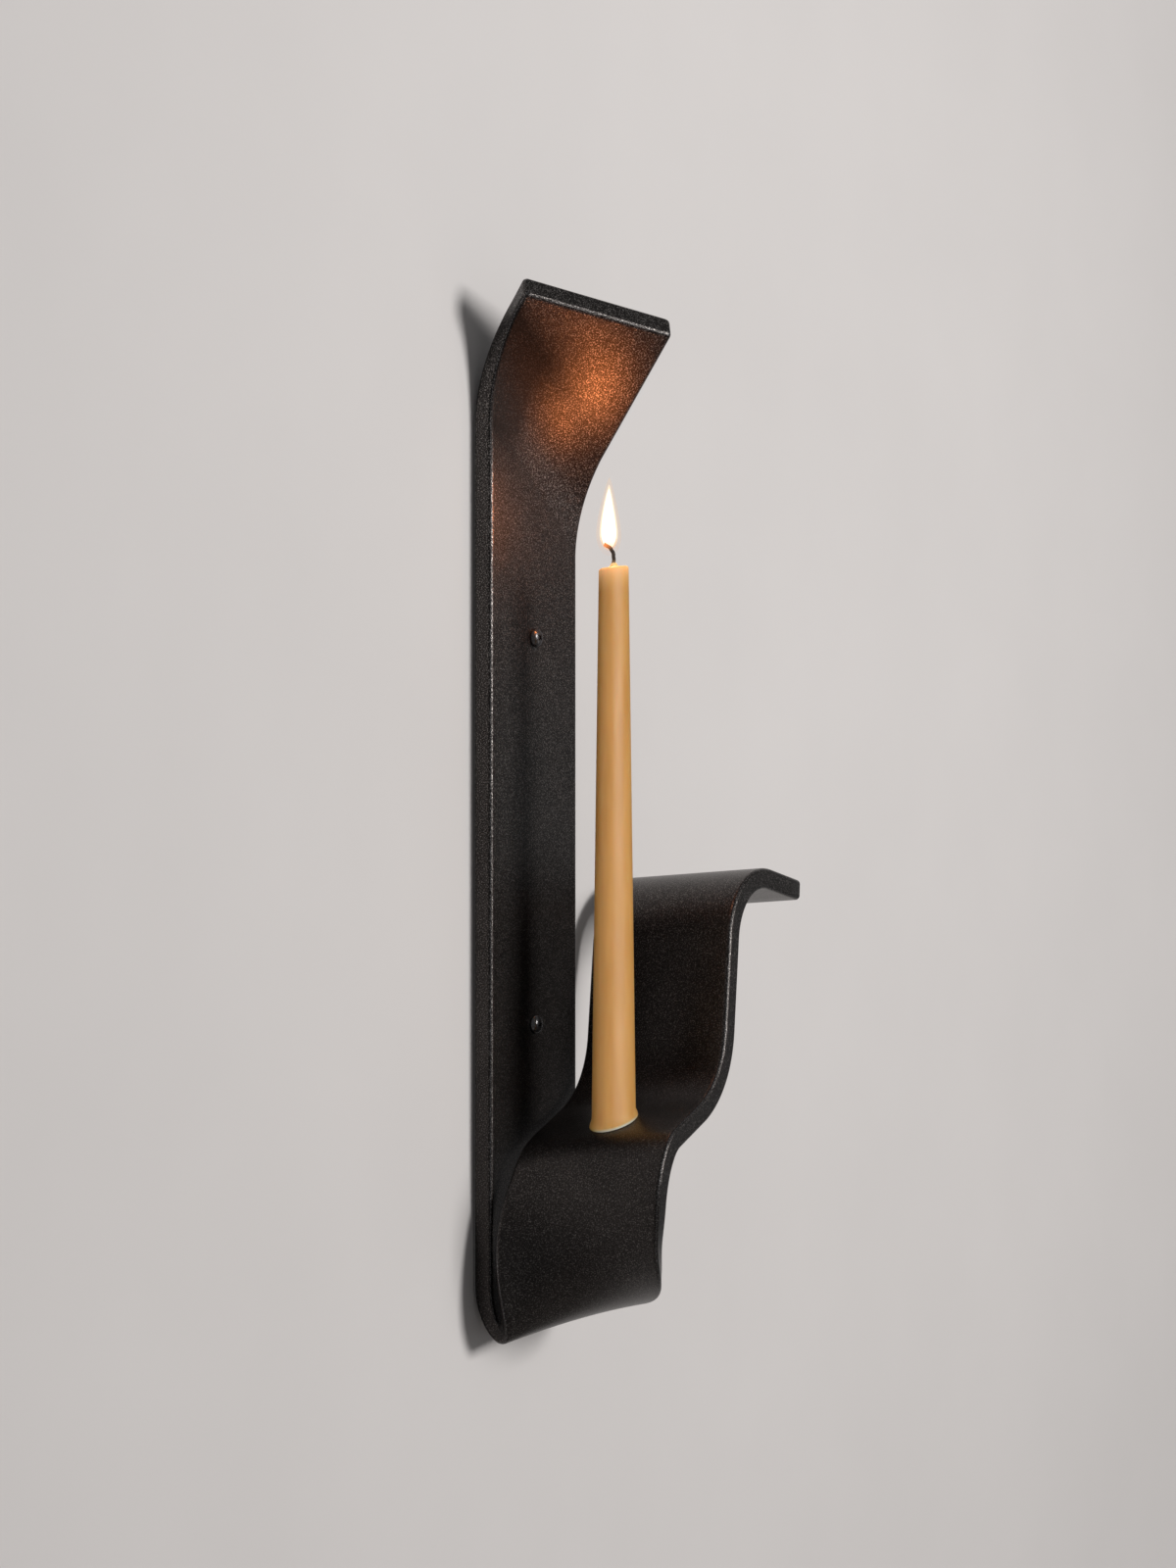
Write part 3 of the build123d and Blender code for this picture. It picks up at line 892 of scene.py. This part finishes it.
def iron_material(grain):
    """Blackened iron: satin, with a fine cast grain, rubbed bright along the arrises."""
    material, tree, shader = blank_material("blackened_iron_satin", IRON_SHOWN)
    surface = grain_on(tree, grain, *IRON_GRAIN)
    place = put(tree, "ShaderNodeTexCoord").outputs["Object"]
    across, _, height = put(tree, "ShaderNodeSeparateXYZ", {"Vector": place}).outputs
    patina = colour_between(tree, surface["Blotch"], *IRON_PATINA)
    # Bright grains show more towards the top
    sparkle = sums(tree, "POWER", spread(tree, surface["Grain"], *SPARKLE_GRAINS), SPARKLE_POWER)
    higher = spread(tree, height, *SPARKLE_HEIGHTS, SPARKLE_LOW, 1.0)
    grains = colour_between(tree, sums(tree, "MULTIPLY", sparkle, higher), patina, SPARKLE_COLOUR)
    # Painted shade: the room side of the hood is darker at its left, where the flame's glow falls
    # off, and it is duller there too
    room_side = put(tree, "ShaderNodeAttribute", attribute_name="room_side").outputs["Fac"]
    leftward = spread(tree, across, *SHADE_ACROSS)
    on_hood = sums(tree, "MULTIPLY", leftward, spread(tree, height, *SHADE_HEIGHTS))
    painted_hood_shade = sums(tree, "MULTIPLY", on_hood, spread(tree, room_side, 0, 1, 0, SHADE_SHARE))
    grains = colour_between(tree, painted_hood_shade, grains, PAINTED_SHADE_COLOUR)
    rough = spread(tree, surface["Grain"], 0, 1, *IRON_ROUGH)
    rougher = spread(tree, painted_hood_shade, 0, SHADE_SHARE, 0, DULL_ROUGHER)
    # Arrises are rubbed bright
    arris = put(tree, "ShaderNodeAttribute", attribute_name="arris").outputs["Fac"]
    edges = sums(tree, "MULTIPLY", arris, RUBBED_ARRIS)
    uneven = sums(tree, "MULTIPLY", surface["Grain"], RUBBED_GRAIN)
    worn = spread(tree, sums(tree, "ADD", edges, uneven), *RUBBED_RANGE)
    # The base colour carries the painted glints and the painted shade on the hood
    feed(
        tree, shader,
        Base_Color=colour_between(tree, worn, grains, RUBBED_COLOUR),
        Metallic=spread(tree, worn, 0, 1, IRON_METALLIC, 1.0),
        Roughness=sums(tree, "ADD", rough, rougher),
        Normal=bump(tree, surface["Height"], *IRON_BUMP),
    )
    return material


def wax_material(grain):
    """Honey wax: soft satin, letting light in, with faint streaks and a pale rim at the foot."""
    material, tree, shader = blank_material("honey_wax_satin", WAX_SHOWN)
    place = put(tree, "ShaderNodeTexCoord").outputs["Object"]
    stretched = put(tree, "ShaderNodeMapping", {"Vector": place, "Scale": WAX_STRETCH}).outputs[0]
    streaks = put(tree, "ShaderNodeTexNoise", {
        "Vector": stretched, "Scale": WAX_STREAKS, "Detail": 2.0,
    }).outputs[0]
    surface = grain_on(tree, grain, *WAX_GRAIN)
    wax = colour_between(tree, spread(tree, streaks, *WAX_STREAK_RANGE), *WAX_COLOURS)
    blotched = sums(tree, "MULTIPLY", surface["Blotch"], WAX_MOTTLED_SHARE)
    mottled = colour_between(tree, blotched, wax, WAX_MOTTLED)
    foot = put(tree, "ShaderNodeAttribute", attribute_name="foot").outputs["Fac"]
    patchy = spread(tree, surface["Blotch"], *WAX_PALE_BLOTCH)
    pale = sums(tree, "MULTIPLY", spread(tree, foot, *WAX_PALE_FOOT), patchy)
    # A faint glow stands for the flame's light in the top of the candle
    height = put(tree, "ShaderNodeSeparateXYZ", {"Vector": place}).outputs["Z"]
    near_top = spread(tree, height, CANDLE_TOP_Z - CANDLE_GLOW, CANDLE_TOP_Z)
    near_flame = sums(tree, "POWER", near_top, WAX_GLOW_POWER)
    feed(
        tree, shader,
        Base_Color=colour_between(tree, pale, mottled, WAX_PALE),
        Roughness=spread(tree, surface["Blotch"], 0, 1, *WAX_ROUGH),
        Emission_Color=colour_between(tree, near_flame, BLACK, WAX_GLOW),
        Emission_Strength=1.0,
        Subsurface_Weight=WAX_DEEP,
        Subsurface_Radius=WAX_DEEP_RADIUS,
        Subsurface_Scale=WAX_DEEP_SCALE,
        Normal=bump(tree, surface["Height"], *WAX_BUMP),
    )
    return material


def wick_material(grain):
    """Charred cotton, with a glowing end."""
    material, tree, shader = blank_material("cotton_wick_charred", WICK_SHOWN)
    surface = grain_on(tree, grain, *WICK_GRAIN)
    along = put(tree, "ShaderNodeAttribute", attribute_name="along").outputs["Fac"]
    charred = spread(
        tree, along, WICK_CHARRED_AT - WICK_CHAR_BLEND, WICK_CHARRED_AT + WICK_CHAR_BLEND
    )
    cotton = colour_between(tree, surface["Grain"], *WICK_COTTON)
    char = colour_between(tree, surface["Grain"], *WICK_CHAR)
    ember = spread(tree, along, WICK_LENGTH - EMBER_STARTS, WICK_LENGTH - EMBER_FULL)
    feed(
        tree, shader,
        Base_Color=colour_between(tree, charred, cotton, char),
        Roughness=spread(tree, surface["Grain"], 0, 1, *WICK_ROUGH),
        Emission_Color=colour_between(tree, ember, BLACK, EMBER_COLOUR),
        Emission_Strength=EMBER_STRENGTH,
        Normal=bump(tree, surface["Height"], *WICK_BUMP),
    )
    return material


def screw_material(grain):
    """Black screw finish with a satin shine and rubbed grains."""
    material, tree, shader = blank_material("black_screw_satin", SCREW_SHOWN)
    surface = grain_on(tree, grain, *SCREW_GRAIN)
    feed(
        tree, shader,
        Base_Color=colour_between(tree, surface["Grain"], *SCREW_COLOURS),
        Metallic=SCREW_METALLIC,
        Roughness=spread(tree, surface["Blotch"], 0, 1, *SCREW_ROUGH),
        Normal=bump(tree, surface["Height"], *SCREW_BUMP),
    )
    return material


def steel_material(grain):
    """Plain turned steel with fine rings from the lathe."""
    material, tree, shader = blank_material("spike_steel_turned", STEEL_SHOWN)
    surface = grain_on(tree, grain, *STEEL_GRAIN)
    place = put(tree, "ShaderNodeTexCoord").outputs["Object"]
    waves = {"Vector": place, "Scale": STEEL_RINGS, "Distortion": STEEL_RING_WAVER}
    rings = put(tree, "ShaderNodeTexWave", waves, bands_direction="Z").outputs["Fac"]
    feed(
        tree, shader,
        Base_Color=colour_between(tree, surface["Blotch"], *STEEL_COLOURS),
        Metallic=1.0,
        Roughness=spread(tree, surface["Grain"], 0, 1, *STEEL_ROUGH),
        Normal=bump(tree, rings, *STEEL_BUMP),
    )
    return material


def flame_material(name, low, high, strength, thickness):
    """A glowing shell: its colours from foot to tip, and how much it hides."""
    material, tree, shader = blank_material(name, high)
    place = put(tree, "ShaderNodeTexCoord").outputs["Object"]
    height = put(tree, "ShaderNodeSeparateXYZ", {"Vector": place}).outputs["Z"]
    risen = spread(tree, height, FLAME_FOOT_Z, FLAME_FOOT_Z + FLAME_CLEAR_FOOT)
    feed(
        tree, shader,
        Base_Color=BLACK,
        Roughness=1.0,
        Specular_IOR_Level=0.0,
        Emission_Color=colour_between(tree, risen, low, high),
        Emission_Strength=strength,
        Alpha=spread(tree, risen, 0, 1, thickness * FLAME_CLEAR_SHARE, thickness),
    )
    return material


def wall_material(name, colour, grain):
    """Painted plaster, seen from the room side only."""
    material, tree, shader = blank_material(name, colour)
    surface = grain_on(tree, grain, *PLASTER_GRAIN)
    dark = tuple(PLASTER_DARKER * channel for channel in colour[:3]) + (1,)
    feed(
        tree, shader,
        Base_Color=colour_between(tree, surface["Blotch"], dark, colour),
        Roughness=PLASTER_ROUGH,
        Specular_IOR_Level=PLASTER_SHEEN,
        Normal=bump(tree, surface["Height"], *PLASTER_BUMP),
    )
    # Light reaches the back of the part, and the wall is clear from behind
    behind = put(tree, "ShaderNodeNewGeometry").outputs["Backfacing"]
    travelled = put(tree, "ShaderNodeLightPath").outputs["Ray Length"]
    near = sums(tree, "LESS_THAN", travelled, WALL_CLEAR)
    clear = put(tree, "ShaderNodeBsdfTransparent").outputs[0]
    mixer = put(tree, "ShaderNodeMixShader", {
        0: sums(tree, "MAXIMUM", behind, near), 1: shader.outputs[0], 2: clear,
    })
    tree.links.new(mixer.outputs[0], tree.nodes["Material Output"].inputs["Surface"])
    return material


def make_stage(wall, floor):
    """The wall behind the part and the floor far below it."""
    for name, material, place, tilt in (
        ("room_wall", wall, (0, WALL_GAP, 0), Matrix.Rotation(radians(90), 4, "X")),
        ("room_floor", floor, (0, -ROOM_SIZE, -ROOM_FLOOR_DROP), Matrix.Identity(4)),
    ):
        bm = bmesh.new()
        lay = Matrix.Translation(place) @ tilt
        bmesh.ops.create_grid(bm, x_segments=1, y_segments=1, size=ROOM_SIZE, matrix=lay)
        mesh = bpy.data.meshes.new(name)
        bm.to_mesh(mesh)
        bm.free()
        piece = bpy.data.objects.new(name, mesh)
        piece.data.materials.append(material)
        bpy.context.scene.collection.objects.link(piece)


def aimed(obj, place, target):
    """Puts a lamp or camera at a place, looking at a target."""
    obj.location = place
    obj.rotation_mode = "QUATERNION"
    obj.rotation_quaternion = (Vector(target) - Vector(place)).to_track_quat("-Z", "Y")
    bpy.context.scene.collection.objects.link(obj)


def light_only(lamp, pieces, state="INCLUDE"):
    """Lets a lamp light some pieces only, or leave them out, or light all when none is given."""
    if pieces:
        lit = bpy.data.collections.new(lamp.name)
        for piece in pieces:
            lit.objects.link(piece)
        for linked in lit.collection_objects:
            linked.light_linking.link_state = state
        lamp.light_linking.receiver_collection = lit


# Camera: level, looking along the wall from the left
forward = Vector((sin(VIEW_TURN), cos(VIEW_TURN), 0))
rightward = Vector((cos(VIEW_TURN), -sin(VIEW_TURN), 0))
camera = bpy.data.objects.new("camera", bpy.data.cameras.new("camera"))
camera.data.sensor_width = SENSOR
camera.data.lens = VIEW_SCALE * VIEW_DISTANCE * SENSOR
camera.data.shift_y = VIEW_RISE
camera_place = rightward * VIEW_SIDE - forward * VIEW_DISTANCE + UP * VIEW_HEIGHT
aimed(camera, camera_place, camera_place + forward)
bpy.context.scene.camera = camera

grain = grain_group()
stations, shelf_start = bar_stations()
seat_up = -Vector(shelf_start.col[1][:3])
seat = shelf_start @ Vector((0, 0, CANDLE_PAST_SHELF_START)) + seat_up * (BAR_THICK / 2)
bar, bar_surface = make_bar(iron_material(grain), stations, seat)
candle = make_candle(wax_material(grain), seat, bar_surface)
wick = make_wick(wick_material(grain), seat)
spike = make_spike(steel_material(grain), seat)
screws = make_screws(screw_material(grain))
flame_foot = Vector((seat.x, seat.y, FLAME_FOOT_Z))
flame_foot = flame_foot - rightward * FLAME_ASIDE + forward * FLAME_BEHIND
make_flame(flame_foot)
make_stage(
    wall_material("pale_plaster", WALL_COLOUR, grain),
    wall_material("pale_floor", FLOOR_COLOUR, grain),
)

# Windows: two for all but the candle and wick, which have one of their own
for name, turn, rise, distance, size, power, state in (
    ("soft_window", KEY_TURN, KEY_RISE, KEY_DISTANCE, KEY_SIZE, KEY_POWER, "EXCLUDE"),
    ("low_window", LOW_TURN, LOW_RISE, LOW_DISTANCE, LOW_SIZE, LOW_POWER, "EXCLUDE"),
    ("wax_window", FILL_TURN, FILL_RISE, FILL_DISTANCE, FILL_SIZE, FILL_POWER, "INCLUDE"),
):
    lamp = bpy.data.objects.new(name, bpy.data.lights.new(name, "AREA"))
    lamp.data.shape = "RECTANGLE"
    lamp.data.size, lamp.data.size_y = size
    lamp.data.energy = power
    lamp.data.color = WINDOW_COLOUR
    light_only(lamp, (candle, wick), state)
    lamp_from = Vector((sin(turn) * cos(rise), -cos(turn) * cos(rise), sin(rise)))
    aimed(lamp, lamp_from * distance, (0, 0, 0))

# The flame's light: on the metal, on the wax, and faintly on all
for name, power, colour, above_foot, pieces in (
    ("flame_low_on_metal", FLAME_LOW_POWER, FLAME_COLOUR, FLAME_LOW, (bar, screws, spike)),
    ("flame_high_on_metal", FLAME_HIGH_POWER, FLAME_COLOUR, FLAME_HIGH, (bar, screws, spike)),
    ("flame_on_wax", FLAME_ON_WAX_POWER, FLAME_ON_WAX_COLOUR, FLAME_MIDDLE, (candle, wick)),
    ("flame_on_all", FLAME_SPILL_POWER, FLAME_COLOUR, FLAME_MIDDLE, ()),
):
    lamp = bpy.data.objects.new(name, bpy.data.lights.new(name, "POINT"))
    lamp.data.energy = power
    lamp.data.color = colour
    lamp.data.shadow_soft_size = FLAME_GLOW_R
    lamp.location = flame_foot + Vector(above_foot)
    light_only(lamp, pieces)
    bpy.context.scene.collection.objects.link(lamp)
    lamp.parent = frame["bodies"]["candle"]

world = bpy.data.worlds.new("room")
world.use_nodes = True
room = world.node_tree.nodes["Background"]
room.inputs["Color"].default_value = ROOM_COLOUR
room.inputs["Strength"].default_value = ROOM_STRENGTH
bpy.context.scene.world = world
bpy.context.scene.view_settings.view_transform = "Standard"
